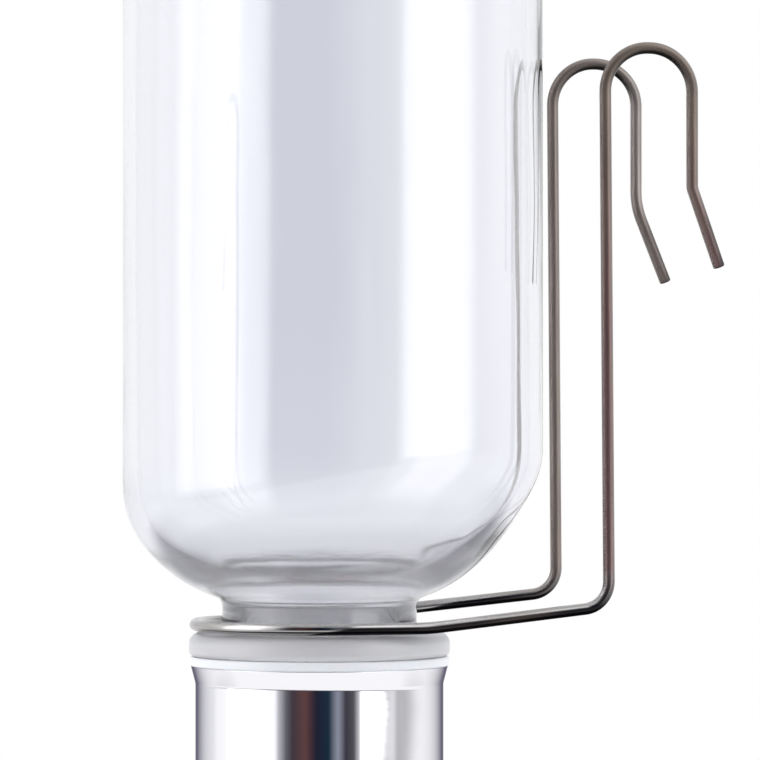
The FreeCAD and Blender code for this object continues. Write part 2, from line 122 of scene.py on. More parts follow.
def rounded(corners, steps=8):
    """Open path through (radius, height, round) corners, each corner rounded by a tangent arc."""
    path = []
    last = len(corners) - 1
    for index, (x, y, radius) in enumerate(corners):
        here = np.array((x, y), float)
        if index in (0, last) or radius == 0:
            path.append(here)
            continue
        before = np.array(corners[index - 1][:2], float) - here
        after = np.array(corners[index + 1][:2], float) - here
        before = before / np.linalg.norm(before)
        after = after / np.linalg.norm(after)
        half = math.acos(max(-1.0, min(1.0, float(before @ after)))) / 2
        reach = radius / math.tan(half)
        middle = before + after
        centre = here + middle / np.linalg.norm(middle) * (radius / math.sin(half))
        start = here + before * reach - centre
        end = here + after * reach - centre
        angle_start = math.atan2(start[1], start[0])
        turn = math.atan2(end[1], end[0]) - angle_start
        turn = (turn + math.pi) % (2 * math.pi) - math.pi
        for step in range(steps + 1):
            angle = angle_start + turn * step / steps
            path.append(centre + radius * np.array((math.cos(angle), math.sin(angle))))
    return path


def divided(path, longest):
    """The same path with its runs cut so that none is longer than `longest`."""
    result = [path[0]]
    for before, after in zip(path, path[1:]):
        count = max(1, math.ceil(float(np.linalg.norm(after - before)) / longest - 1e-9))
        for step in range(1, count + 1):
            result.append(before + (after - before) * step / count)
    return result


def build(name, vertices, faces, sharp=40.0):
    """An object from vertices in the neck frame, shaded smooth except at sharp corners."""
    mesh = bpy.data.meshes.new(name)
    mesh.from_pydata((np.asarray(vertices) + NECK) * MM, [], faces)
    cleaner = bmesh.new()
    cleaner.from_mesh(mesh)
    bmesh.ops.recalc_face_normals(cleaner, faces=cleaner.faces)
    cleaner.to_mesh(mesh)
    cleaner.free()
    mesh.shade_smooth()
    mesh.set_sharp_from_angle(angle=math.radians(sharp))
    made = bpy.data.objects.new(name, mesh)
    bpy.context.scene.collection.objects.link(made)
    return made


def band(low, high, around):
    """Faces between two rings of points, whose first points are `low` and `high`."""
    faces = []
    for step in range(around):
        following = (step + 1) % around
        faces.append((low + step, high + step, high + following, low + following))
    return faces


def lathe(name, path, closed, around=128, warp=None, sharp=40.0):
    """Turns a path of (radius, height) round the neck axis. `warp` then moves the points."""
    angles = np.arange(around) * 2 * math.pi / around
    rings, vertices, faces = [], [], []
    for radius, height in path:
        start = len(vertices)
        if radius < 1e-6:
            vertices.append((0.0, 0.0, height))
            rings.append((start, 1))
        else:
            for angle in angles:
                vertices.append((radius * math.cos(angle), radius * math.sin(angle), height))
            rings.append((start, around))
    pairs = list(zip(rings, rings[1:]))
    if closed:
        pairs.append((rings[-1], rings[0]))
    for (low, low_count), (high, high_count) in pairs:
        if low_count == 1:
            faces += [(low, high + step, high + (step + 1) % around) for step in range(around)]
        elif high_count == 1:
            faces += [(low + step, high, low + (step + 1) % around) for step in range(around)]
        else:
            faces += band(low, high, around)
    vertices = np.array(vertices)
    if warp is not None:
        vertices = warp(vertices)
    return build(name, vertices, faces, sharp)


def smoothstep(value, low, high):
    """0 below `low`, 1 above `high` and a soft rise between them."""
    share = np.clip((value - low) / (high - low), 0, 1)
    return share * share * (3 - 2 * share)


def thread(points, shift, start, turns, half_width):
    """0 to 1, how far each point lies inside a right-handed helical ridge.

    The ridge is raised by `shift` and runs from the turn `start` to the turn `turns`.
    """
    steep, run_out = 1.35, 0.1
    turned = np.arctan2(points[:, 1], points[:, 0]) / (2 * math.pi) % 1.0
    ridge = np.zeros(len(points))
    for lap in range(-1, int(turns) + 2):
        along = turned + lap
        centre = THREAD_LOW + shift + THREAD_PITCH * along
        away = np.abs(points[:, 2] - centre) / half_width
        shape = np.where(away < 1, np.cos(np.clip(away, 0, 1) * math.pi / 2) ** 2, 0)
        fade = smoothstep(along, start, start + run_out)
        fade = fade * (1 - smoothstep(along, turns - run_out, turns))
        ridge = np.maximum(ridge, np.minimum(1, shape * steep) * fade)
    return ridge


# Bottle: blown glass, its round shoulder and body standing a little off the neck axis

def lean_at(height):
    """How far the glass stands off the neck axis at a height."""
    share = np.clip(1 - (SHOULDER_TOP - height) / LEAN_HEIGHT, 0, 1)
    return BODY_OFFSET * (1 - np.cos(math.pi * share)) / 2


def shoulder(arc, reach, end_radius, fillet, steps=60, blend_steps=12):
    """The shoulder's round, from the body down, with a blend into the neck's straight wall."""
    centre = reach - arc
    blend_x = end_radius + fillet
    blend_y = SHOULDER_TOP - math.sqrt((arc + fillet) ** 2 - (blend_x - centre) ** 2)
    whole = math.atan2(SHOULDER_TOP - blend_y, blend_x - centre)
    points = []
    for step in range(steps + 1):
        angle = whole * step / steps
        points.append((centre + arc * math.cos(angle), SHOULDER_TOP - arc * math.sin(angle), 0))
    for step in range(1, blend_steps + 1):
        angle = math.pi - whole + whole * step / blend_steps
        points.append((blend_x + fillet * math.cos(angle), blend_y + fillet * math.sin(angle), 0))
    return points


def push_up(steps=14):
    """The hollow in the base, from its middle outwards."""
    dome = (PUSH_UP_RADIUS ** 2 + PUSH_UP_DEPTH ** 2) / (2 * PUSH_UP_DEPTH)
    centre = BODY_TOP - PUSH_UP_DEPTH + dome
    points = []
    for step in range(steps):
        radius = PUSH_UP_RADIUS * step / steps
        points.append((radius, centre - math.sqrt(dome ** 2 - radius ** 2), 0))
    return points


def glass_warp(points):
    """Leans the glass off the neck axis, cuts the thread and makes the blown wall uneven."""
    radius = np.hypot(points[:, 0], points[:, 1])
    angle = np.arctan2(points[:, 1], points[:, 0])
    height = points[:, 2]
    # Below the bead the glass is cut back to the thread's root, and the ridge stands on that.
    on_finish = (height < BEAD_LOW - 0.55) & (radius > FINISH_RADIUS - 1.5)
    ridge = thread(points, 0.0, 0.0, THREAD_TURNS, GLASS_RIDGE_HALF_WIDTH)
    blend = smoothstep(-height, -BEAD_LOW + 0.5, -BEAD_LOW + 1.2)
    cut = radius + blend * (GLASS_RIDGE * ridge - THREAD_ROOT_DEPTH)
    new_radius = np.where(on_finish, cut, radius)
    # The inside of a blown bottle is a little uneven: its wall is thicker in broad, soft waves.
    wave_low, wave_high, inner_radius = 14, 126, BODY_RADIUS - GLASS_WALL
    inner = (radius < inner_radius + 0.05) & (radius > 20)
    inner = inner & (height > wave_low) & (height < BODY_TOP - BASE_WALL - 0.1)
    wave = 0.06 * np.sin(2 * angle + 0.03 * height + 0.7)
    wave = wave + 0.03 * np.sin(3 * angle - 0.04 * height + 2.1)
    wave = wave + 0.012 * np.sin(5 * angle + 0.07 * height) - 0.06
    wave = wave * smoothstep(height, wave_low, wave_low + 16)
    wave = wave * (1 - smoothstep(height, wave_high - 14, wave_high))
    new_radius = np.where(inner, new_radius + wave, new_radius)
    scale = np.where(radius > 1e-6, new_radius / np.maximum(radius, 1e-6), 1)
    moved = points.copy()
    moved[:, 0] = points[:, 0] * scale + lean_at(height)
    moved[:, 1] = points[:, 1] * scale
    return moved


def make_bottle(thread_step=0.22):
    outside = push_up()
    outside += [(PUSH_UP_RADIUS, BODY_TOP, 2.5), (BODY_RADIUS, BODY_TOP, 7.0)]
    outside += shoulder(SHOULDER_RADIUS, BODY_RADIUS, NECK_RADIUS, NECK_BLEND)
    outside += [
        (NECK_RADIUS, BEAD_TOP, 2.0),
        (BEAD_RADIUS, BEAD_TOP, 1.7),
        (BEAD_RADIUS, BEAD_LOW, 0.9),
        (FINISH_RADIUS, BEAD_LOW, 0.5),
        (FINISH_RADIUS, RIM, 0.9),
        (BORE_RADIUS, RIM, 0.7),
    ]
    inner_radius, inner_top = BODY_RADIUS - GLASS_WALL, BODY_TOP - BASE_WALL
    inside = shoulder(INNER_SHOULDER_RADIUS, inner_radius, BORE_RADIUS, INNER_NECK_BLEND)
    inside = list(reversed(inside))
    inside += [(inner_radius, inner_top, 5.0), (0.0, inner_top, 0)]
    path = divided(rounded(outside + inside, 10), 3.0)
    # The finish gets short steps for the thread.
    fine = []
    for before, after in zip(path, path[1:]):
        fine.append(before)
        straight = abs(before[0] - after[0]) < 1e-6 and before[0] > FINISH_RADIUS - 0.1
        if straight and after[1] < BEAD_LOW and before[1] > RIM:
            count = math.ceil(abs(after[1] - before[1]) / thread_step)
            fine += [before + (after - before) * step / count for step in range(1, count)]
    fine.append(path[-1])
    return lathe("glass_bottle", fine, False, around=216, warp=glass_warp, sharp=60)


# Hanger: one length of wire, bent on round formers

def bent(corners, radii):
    """Points along straight runs whose corners are rounded by tangent arcs."""
    points = [np.array(corners[0], float)]
    for before, corner, after, radius in zip(corners, corners[1:], corners[2:], radii):
        before, corner, after = (np.array(p, float) for p in (before, corner, after))
        way_in = (corner - before) / np.linalg.norm(corner - before)
        way_out = (after - corner) / np.linalg.norm(after - corner)
        turn = math.acos(max(-1.0, min(1.0, float(way_in @ way_out))))
        inwards = (way_out - way_in) / np.linalg.norm(way_out - way_in)
        centre = corner + inwards * radius / math.cos(turn / 2)
        first = corner - way_in * radius * math.tan(turn / 2) - centre
        steps = max(4, math.ceil(math.degrees(turn) / 3.5))
        for step in range(steps + 1):
            angle = turn * step / steps
            points.append(centre + first * math.cos(angle) + way_in * radius * math.sin(angle))
    points.append(np.array(corners[-1], float))
    return points


def hanger_side(side, arm_bend, rise, arm_radius, kink_drop, tip_out, kink_radius):
    """The angle at which one arm leaves the ring, and the wire from there to the hook's tip.

    The arm starts to rise `arm_bend` beyond the ring. The hook's free leg is kinked outwards
    `kink_drop` below the top.
    """
    leg_y = side * LEG_SPACING / 2
    tangent = side * (math.atan2(LEG_SPACING / 2, LEG_REACH)
                      + math.acos(RING_RADIUS / math.hypot(LEG_REACH, LEG_SPACING / 2)))
    start = np.array((RING_RADIUS * math.cos(tangent), RING_RADIUS * math.sin(tangent), 0.0))
    share = arm_bend / (LEG_REACH - start[0])
    near, kink = LEG_REACH - LEG_LEAN, HOOK_TOP - kink_drop
    far = near + HOOK_GAP
    corners = [
        start,
        (start[0] + arm_bend, start[1] + (leg_y - start[1]) * share, 0),
        (LEG_REACH, leg_y, rise),
        (near, leg_y, HOOK_TOP),
        (far, leg_y, HOOK_TOP),
        (far, leg_y, kink),
        (far + tip_out, leg_y, kink - TIP_DROP),
    ]
    hook = (HOOK_GAP - HOOK_FLAT) / 2
    return tangent, bent(corners, [arm_radius, LEG_BEND, hook, hook, kink_radius])


def make_hanger(around=36, steps=96):
    front_angle, front = hanger_side(
        -1, arm_bend=11.4, rise=3.0, arm_radius=30.0, kink_drop=21.3, tip_out=4.3, kink_radius=3.0)
    rear_angle, rear = hanger_side(
        1, arm_bend=1.4, rise=4.1, arm_radius=14.0, kink_drop=22.6, tip_out=4.9, kink_radius=12.0)
    sweep = 2 * math.pi - rear_angle + front_angle
    ring = []
    for step in range(1, steps):
        angle = front_angle - sweep * step / steps
        ring.append(np.array((RING_RADIUS * math.cos(angle), RING_RADIUS * math.sin(angle), 0)))
    path = divided(list(reversed(front)) + ring + rear, 2.5)
    keep = [path[0]]
    for point in path[1:]:
        if np.linalg.norm(point - keep[-1]) > 1e-4:
            keep.append(point)
    path = np.array(keep)
    # The cut ends: a short bevel where the cutter pinched the wire.
    ends = [(0.0, 0.62), (0.10, 0.84), (0.26, WIRE_RADIUS)]
    first, last = path[1] - path[0], path[-1] - path[-2]
    first, last = first / np.linalg.norm(first), last / np.linalg.norm(last)
    head = [(path[0] + first * away, radius) for away, radius in ends]
    tail = [(path[-1] - last * away, radius) for away, radius in reversed(ends)]
    rings = head + [(point, WIRE_RADIUS) for point in path[1:-1]] + tail
    centres = np.array([centre for centre, _ in rings])
    tangents = np.gradient(centres, axis=0)
    tangents /= np.linalg.norm(tangents, axis=1)[:, None]
    side = np.cross(tangents[0], (0, 1, 0))
    side /= np.linalg.norm(side)
    vertices, along, travelled = [], [], 0.0
    for index, (centre, radius) in enumerate(rings):
        side = side - tangents[index] * (side @ tangents[index])
        side /= np.linalg.norm(side)
        up = np.cross(tangents[index], side)
        if index:
            travelled += float(np.linalg.norm(centre - rings[index - 1][0]))
        for step in range(around):
            angle = 2 * math.pi * step / around
            vertices.append(centre + radius * (side * math.cos(angle) + up * math.sin(angle)))
            along.append((travelled * MM, angle))
    faces = []
    for index in range(len(rings) - 1):
        faces += band(index * around, (index + 1) * around, around)
    faces.append(tuple(range(around)))
    faces.append(tuple(len(vertices) - around + step for step in range(around)))
    made = build("hanger_wire", vertices, faces, 50)
    # The material follows the wire by its length and the point's place round it, in metres.
    attribute = made.data.attributes.new("along", "FLOAT_VECTOR", "POINT")
    round_wire = WIRE_RADIUS * MM
    values = [(length, math.cos(angle) * round_wire, math.sin(angle) * round_wire)
              for length, angle in along]
    attribute.data.foreach_set("vector", np.array(values, np.float32).ravel())
    return made


# Cap, liner, washer, tube and grommet

def make_cap_shell():
    sheet = CAP_RADIUS - SHELL_BORE
    path = rounded([
        (TUBE_HOLE, CAP_END, 0), (CAP_RADIUS, CAP_END, 2.0), (CAP_RADIUS, LIP_START, 2.5),
        (LIP_RADIUS, LIP_TOP, 0.06), (LIP_RADIUS - sheet, LIP_TOP, 0.06),
        (SHELL_BORE, LIP_START, 3.0), (SHELL_BORE, FLOOR_LOW, 1.5), (TUBE_HOLE, FLOOR_LOW, 0),
    ], 10)
    return lathe("cap_metal_shell", divided(path, 3.0), True, around=192)


def liner_warp(points):
    """The liner's own thread, half a turn away from the glass one, points inwards."""
    radius = np.hypot(points[:, 0], points[:, 1])
    bore = (np.abs(radius - LINER_BORE) < 0.02) & (points[:, 2] < -6.0) & (points[:, 2] > -20.5)
    ridge = thread(points, THREAD_PITCH / 2, -0.3, THREAD_TURNS - 0.1, LINER_RIDGE_HALF_WIDTH)
    cut = np.where(bore, LINER_BORE - LINER_RIDGE * ridge, radius)
    moved = points.copy()
    moved[:, :2] *= (cut / np.maximum(radius, 1e-6))[:, None]
    return moved


def make_cap_liner(bore_steps=90):
    path = rounded([
        (TUBE_HOLE, FLOOR_LOW, 0), (SHELL_BORE, FLOOR_LOW, 1.5), (SHELL_BORE, LIP_TOP, 0),
        (COLLAR_RADIUS, LIP_TOP, 0.4), (COLLAR_RADIUS, COLLAR_TOP, 0.4),
        (LINER_BORE, COLLAR_TOP, 0), (LINER_BORE, FLOOR_TOP, 0), (TUBE_HOLE, FLOOR_TOP, 0),
    ], 8)
    # The bore gets short steps for the thread.
    fine = []
    for before, after in zip(path, path[1:]):
        fine.append(before)
        if abs(before[0] - LINER_BORE) < 1e-6 and abs(after[0] - LINER_BORE) < 1e-6:
            fine += [before + (after - before) * step / bore_steps
                     for step in range(1, bore_steps)]
    fine.append(path[-1])
    return lathe("cap_plastic_liner", fine, True, around=160, warp=liner_warp)


def make_washer():
    path = rounded([
        (WASHER_BORE, FLOOR_TOP, 0), (WASHER_RADIUS, FLOOR_TOP, 0.3), (WASHER_RADIUS, RIM, 0.3),
        (WASHER_BORE, RIM, 0.3), (WASHER_BORE, FLOOR_TOP, 0),
    ], 6)
    return lathe("sealing_washer_ring", path[:-1], True)


def make_tube():
    low_end, high_end = CRIMP_HEIGHT - 0.5, CRIMP_HEIGHT + 0.5
    low_flank, high_flank = CRIMP_HEIGHT - 1.4, CRIMP_HEIGHT + 1.4
    flange_top, roll_top = RIM + TUBE_SHEET, TUBE_END + TUBE_SHEET
    path = rounded([
        (TUBE_MOUTH, TUBE_END, 0), (TUBE_RADIUS, TUBE_END, 1.25), (TUBE_RADIUS, low_flank, 0.5),
        (CRIMP_RADIUS, low_end, 0.5), (CRIMP_RADIUS, high_end, 0.5),
        (TUBE_RADIUS, high_flank, 0.5), (TUBE_RADIUS, RIM, 0), (FLANGE_RADIUS, RIM, 0.25),
        (FLANGE_RADIUS, flange_top, 0.25), (TUBE_BORE, flange_top, 0.25),
        (TUBE_BORE, high_flank, 0.5), (CRIMP_BORE, high_end, 0.5), (CRIMP_BORE, low_end, 0.5),
        (TUBE_BORE, low_flank, 0.5), (TUBE_BORE, roll_top, 0.65), (TUBE_MOUTH, roll_top, 0),
        (TUBE_MOUTH, TUBE_END, 0),
    ], 8)
    return lathe("drinking_tube_steel", divided(path, 3.0)[:-1], True, around=96)


def make_grommet():
    lowest = CAP_END - GROMMET_LIP
    path = rounded([
        (TUBE_RADIUS, lowest, 0), (GROMMET_RADIUS, lowest, 0.5), (GROMMET_RADIUS, CAP_END, 0.15),
        (TUBE_HOLE, CAP_END, 0), (TUBE_HOLE, FLOOR_TOP, 0), (GROMMET_RADIUS, FLOOR_TOP, 0.15),
        (GROMMET_RADIUS, RIM, 0.5), (TUBE_RADIUS, RIM, 0),
    ], 6)
    return lathe("tube_grommet_ring", path, True, around=96)


# Materials

def shader(name, colour, roughness, metallic=0.0, **sockets):
    """A Principled material, its node tree and its surface node."""
    made = bpy.data.materials.new(name)
    made.use_nodes = True
    tree = made.node_tree
    surface = tree.nodes["Principled BSDF"]
    surface.inputs["Base Color"].default_value = (*colour, 1)
    surface.inputs["Roughness"].default_value = roughness
    surface.inputs["Metallic"].default_value = metallic
    for socket, value in sockets.items():
        surface.inputs[socket.replace("_", " ")].default_value = value
    return made, tree, surface


def add(tree, kind, **values):
    node = tree.nodes.new(kind)
    for key, value in values.items():
        setattr(node, key, value)
    return node


def maths(tree, operation, *values):
    """A Math node fed by numbers or other nodes' outputs."""
    node = add(tree, "ShaderNodeMath", operation=operation)
    for socket, value in zip(node.inputs, values):
        if isinstance(value, float):
            socket.default_value = value
        else:
            tree.links.new(value, socket)
    return node.outputs[0]


def split(tree, vector):
    """The X, Y and Z of a vector."""
    node = add(tree, "ShaderNodeSeparateXYZ")
    tree.links.new(vector, node.inputs[0])
    return node.outputs["X"], node.outputs["Y"], node.outputs["Z"]


def noise(tree, vector, scale, detail=3.0, rough=0.5):
    node = add(tree, "ShaderNodeTexNoise")
    node.inputs["Scale"].default_value = scale
    node.inputs["Detail"].default_value = detail
    node.inputs["Roughness"].default_value = rough
    tree.links.new(vector, node.inputs["Vector"])
    return node.outputs["Fac"]


def stretch(tree, vector, scale):
    node = add(tree, "ShaderNodeMapping")
    node.inputs["Scale"].default_value = scale
    tree.links.new(vector, node.inputs["Vector"])
    return node.outputs["Vector"]


def place(tree):
    return add(tree, "ShaderNodeTexCoord").outputs["Object"]


def ramp(tree, factor, stops):
    node = add(tree, "ShaderNodeValToRGB")
    elements = node.color_ramp.elements
    while len(elements) < len(stops):
        elements.new(0.5)
    for element, (position, _) in zip(elements, stops):
        element.position = position
    for element, (_, colour) in zip(elements, stops):
        element.color = (*colour, 1)
    tree.links.new(factor, node.inputs["Fac"])
    return node.outputs["Color"]


def remap(tree, factor, low, high, out_low, out_high):
    node = add(tree, "ShaderNodeMapRange")
    for socket, value in zip(("From Min", "From Max", "To Min", "To Max"),
                             (low, high, out_low, out_high)):
        node.inputs[socket].default_value = value
    tree.links.new(factor, node.inputs["Value"])
    return node.outputs["Result"]


def bump(tree, surface, height, strength, distance):
    node = add(tree, "ShaderNodeBump")
    node.inputs["Strength"].default_value = strength
    node.inputs["Distance"].default_value = distance
    tree.links.new(height, node.inputs["Height"])
    tree.links.new(node.outputs["Normal"], surface.inputs["Normal"])


def mix_colour(tree, factor, first, second, mode="MIX"):
    node = add(tree, "ShaderNodeMix", data_type="RGBA", blend_type=mode)
    for socket, value in ((node.inputs["Factor"], factor), (node.inputs[6], first),
                          (node.inputs[7], second)):
        if isinstance(value, (tuple, float)):
            socket.default_value = (*value, 1) if isinstance(value, tuple) else value
        else:
            tree.links.new(value, socket)
    return node.outputs[2]


def polar(tree):
    """Vector of (angle, radius, height) round the neck axis, in radians and metres."""
    x, y, z = split(tree, place(tree))
    x = maths(tree, "SUBTRACT", x, float(NECK[0] * MM))
    angle = maths(tree, "ARCTAN2", y, x)
    flat = add(tree, "ShaderNodeCombineXYZ")
    tree.links.new(x, flat.inputs[0])
    tree.links.new(y, flat.inputs[1])
    length = add(tree, "ShaderNodeVectorMath", operation="LENGTH")
    tree.links.new(flat.outputs[0], length.inputs[0])
    result = add(tree, "ShaderNodeCombineXYZ")
    for value, socket in zip((angle, length.outputs["Value"], z), result.inputs):
        tree.links.new(value, socket)
    return result.outputs[0]


def glass_material():
    made, tree, surface = shader(
        "clear_glass", (0.965, 0.968, 0.985), 0.0, IOR=1.5, Transmission_Weight=1.0)
    # The bead keeps the matt face of its mould; the blown glass is clear.
    bead_middle = float(NECK[2] + (BEAD_TOP + BEAD_LOW) / 2) * MM
    on_bead, off_bead = 0.002, 0.0026
    _, _, height = split(tree, place(tree))
    from_bead = maths(tree, "ABSOLUTE", maths(tree, "SUBTRACT", height, bead_middle))
    matt = remap(tree, from_bead, on_bead, off_bead, 0.3, 0)
    # The thick glass at the neck is less clear inside. Ramp places run up from the neck's foot.
    neck = remap(tree, height, -0.087, -0.067, 0, 1)
    soft = ramp(tree, neck, [(0.05, (0, 0, 0)), (0.15, (0.15, 0.15, 0.15)),
                             (0.35, (0.15, 0.15, 0.15)), (0.5, (0.07, 0.07, 0.07)),
                             (0.85, (0, 0, 0))])
    tree.links.new(mix_colour(tree, 1.0, matt, soft, "ADD"), surface.inputs["Roughness"])
    milky = ramp(tree, neck, [(0.06, (1, 1, 1)), (0.16, (0.88, 0.88, 0.88)),
                              (0.42, (0.88, 0.88, 0.88)), (0.62, (1, 1, 1))])
    bead = remap(tree, from_bead, on_bead, off_bead, 0.5, 1.0)
    tree.links.new(mix_colour(tree, 1.0, milky, bead, "MULTIPLY"),
                   surface.inputs["Transmission Weight"])
    ripples = noise(tree, stretch(tree, place(tree), (1, 1, 0.35)), 70, 2.0)
    bump(tree, surface, ripples, 0.18, 0.0004)
    return made


def wire_material():
    made, tree, surface = shader("drawn_steel_wire", (0.2, 0.18, 0.16), 0.3, 1.0)
    where = add(tree, "ShaderNodeAttribute", attribute_name="along").outputs["Vector"]
    streaks = noise(tree, stretch(tree, where, (90, 2600, 2600)), 1.0)
    patches = noise(tree, stretch(tree, where, (60, 500, 500)), 1.0)
    x, y, height = split(tree, place(tree))
    facing = add(tree, "ShaderNodeNewGeometry").outputs["Normal"]
    facing_x, _, facing_up = split(tree, facing)

    # The dull drawing skin is olive at the hooks and brown below, and paler on the rear leg.
    lower = remap(tree, height, -0.004, -0.04, 0, 1)
    skin = mix_colour(tree, lower, (0.24, 0.19, 0.155), (0.2, 0.12, 0.115))
    rear = remap(tree, y, -0.004, 0.004, 0, 1)
    skin = mix_colour(tree, rear, skin, (0.255, 0.21, 0.187))
    # The free leg of the rear hook is rubbed grey down to its kink.
    free_leg = remap(tree, x, 0.004, 0.008, 0, 1)
    above_kink = remap(tree, height, -0.023, -0.018, 0, 1)
    grey = maths(tree, "MULTIPLY", maths(tree, "MULTIPLY", free_leg, above_kink), rear)
    skin = mix_colour(tree, grey, skin, (0.38, 0.35, 0.33))
    # At a slant the skin is painted a paler colour: a painted sheen.
    slant = add(tree, "ShaderNodeLayerWeight")
    slant.inputs["Blend"].default_value = 0.5
    painted_sheen = remap(tree, slant.outputs["Facing"], 0.08, 0.6, 0, 1)
    dull = mix_colour(tree, painted_sheen, skin, (0.31, 0.28, 0.255))
    # The ring and the arms are rubbed bright.
    bright = remap(tree, height, -0.078, -0.084, 0, 1)
    metal = mix_colour(tree, bright, dull, (0.48, 0.47, 0.455))

    # Painted shade: the underside of the ring and the arms is painted nearly black. It starts in
    # front at the middle of the ring and climbs towards the arms.
    along = maths(tree, "MULTIPLY_ADD", y, -0.667, x)
    climb = remap(tree, along, -0.043, -0.033, -1.1, 0.3)
    shaded_underside = remap(tree, maths(tree, "SUBTRACT", facing_up, climb), 0.12, -0.12, 0, 1)
    metal = mix_colour(tree, maths(tree, "MULTIPLY", shaded_underside, bright), metal, (0.02, 0.019, 0.022))
    # The same painted shade is put under the hooks' crowns.
    shaded_underside = remap(tree, facing_up, 0.35, -0.65, 0, 1)
    crown = remap(tree, height, -0.007, -0.003, 0, 1)
    metal = mix_colour(tree, maths(tree, "MULTIPLY", shaded_underside, crown), metal, (0.02, 0.018, 0.014))
    # Painted shade also darkens the outer, lower side of the tips and their cut ends.
    shaded_outer_side = remap(tree, maths(tree, "SUBTRACT", facing_x, facing_up), -0.2, 0.6, 0, 1)
    tip = maths(tree, "MULTIPLY", remap(tree, height, -0.021, -0.026, 0, 1), free_leg)
    metal = mix_colour(tree, maths(tree, "MULTIPLY", shaded_outer_side, tip), metal, (0.02, 0.016, 0.018))

    worn = mix_colour(tree, remap(tree, patches, 0.5, 0.75, 0, 0.35), metal, (0.17, 0.13, 0.11))
    lines = ramp(tree, streaks, [(0.3, (0.82, 0.82, 0.82)), (0.65, (1.1, 1.1, 1.1))])
    tree.links.new(mix_colour(tree, 1.0, worn, lines, "MULTIPLY"), surface.inputs["Base Color"])
    patchy = remap(tree, patches, 0.3, 0.7, 0.32, 0.42)
    tree.links.new(maths(tree, "MULTIPLY_ADD", bright, -0.2, patchy), surface.inputs["Roughness"])
    tree.links.new(remap(tree, bright, 0, 1, 0.5, 1), surface.inputs["Metallic"])
    bump(tree, surface, streaks, 0.12, 0.00003)
    return made


def chrome_material():
    made, tree, surface = shader(
        "polished_cap_metal", (0.9, 0.895, 0.915), 0.06, 1.0,
        Specular_Tint=(0.13, 0.12, 0.17, 1))
    turned = polar(tree)
    rings = noise(tree, stretch(tree, turned, (1.5, 900, 900)), 1.0)
    smear = noise(tree, place(tree), 60, 2.0)
    tree.links.new(remap(tree, smear, 0.35, 0.7, 0.04, 0.1), surface.inputs["Roughness"])
    bump(tree, surface, rings, 0.06, 0.00003)
    return made


def plastic_material():
    made, tree, surface = shader(
        "white_moulded_plastic", (0.9, 0.905, 0.93), 0.32, IOR=1.5,
        Subsurface_Weight=0.15, Subsurface_Scale=0.002)
    grain = noise(tree, place(tree), 900, 2.0)
    cloud = noise(tree, place(tree), 120, 2.0)
    tree.links.new(mix_colour(tree, cloud, (0.88, 0.885, 0.92), (0.93, 0.935, 0.955)),
                   surface.inputs["Base Color"])
    tree.links.new(remap(tree, cloud, 0.3, 0.7, 0.28, 0.4), surface.inputs["Roughness"])
    bump(tree, surface, grain, 0.12, 0.00003)
    return made


def rubber_material(name, dark, light):
    made, tree, surface = shader(name, dark, 0.55, IOR=1.5)
    grain = noise(tree, place(tree), 1600)
    dust = noise(tree, place(tree), 220, 4.0, 0.6)
    tree.links.new(mix_colour(tree, remap(tree, dust, 0.4, 0.75, 0, 0.6), dark, light),
                   surface.inputs["Base Color"])
    tree.links.new(remap(tree, dust, 0.3, 0.7, 0.46, 0.66), surface.inputs["Roughness"])
    bump(tree, surface, grain, 0.3, 0.00004)
    return made


def tube_material():
    made, tree, surface = shader("brushed_tube_steel", (0.62, 0.61, 0.60), 0.2, 1.0)
    turned = polar(tree)
    drawn = noise(tree, stretch(tree, turned, (60, 60, 40)), 1.0, 3.0, 0.6)
    fine = noise(tree, stretch(tree, turned, (420, 300, 18)), 1.0, 4.0, 0.6)
    tree.links.new(mix_colour(tree, drawn, (0.56, 0.55, 0.54), (0.7, 0.69, 0.68)),
                   surface.inputs["Base Color"])
    tree.links.new(remap(tree, fine, 0.3, 0.7, 0.14, 0.3), surface.inputs["Roughness"])
    bump(tree, surface, fine, 0.12, 0.00003)
    return made


def ball_material():
    made, tree, surface = shader("ground_ball_steel", (0.7, 0.69, 0.68), 0.1, 1.0)
    wear = noise(tree, place(tree), 500)
    tree.links.new(remap(tree, wear, 0.35, 0.7, 0.06, 0.18), surface.inputs["Roughness"])
    tree.links.new(mix_colour(tree, wear, (0.66, 0.65, 0.64), (0.74, 0.73, 0.72)),
                   surface.inputs["Base Color"])
    return made


# Putting the pieces on their bodies

def dress(piece, body, material, node):
    piece.data.materials.clear()
    piece.data.materials.append(material)
    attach(piece, body)
    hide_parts(node)


dress(make_hanger(), "hanger", wire_material(), "wire_hanger")
dress(make_bottle(), "bottle", glass_material(), "bottle")
dress(make_cap_shell(), "cap", chrome_material(), "cap_shell")
dress(make_cap_liner(), "cap", plastic_material(), "cap_liner")
red_rubber = rubber_material("red_washer_rubber", (0.42, 0.06, 0.045), (0.5, 0.13, 0.1))
dress(make_washer(), "washer", red_rubber, "sealing_washer")
dress(make_tube(), "cap", tube_material(), "drinking_tube")
dark_rubber = rubber_material("dark_grommet_rubber", (0.035, 0.035, 0.037), (0.1, 0.1, 0.1))
dress(make_grommet(), "cap", dark_rubber, "tube_grommet")
# The balls keep their own solids and only get a material.
for ball in ("lower_ball", "upper_ball"):
    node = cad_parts[ball]
    node.data.materials.clear()
    node.data.materials.append(ball_material())
    node.data.shade_smooth()


# Camera: a long lens nearly level with the shoulder, 12 degrees left of square on

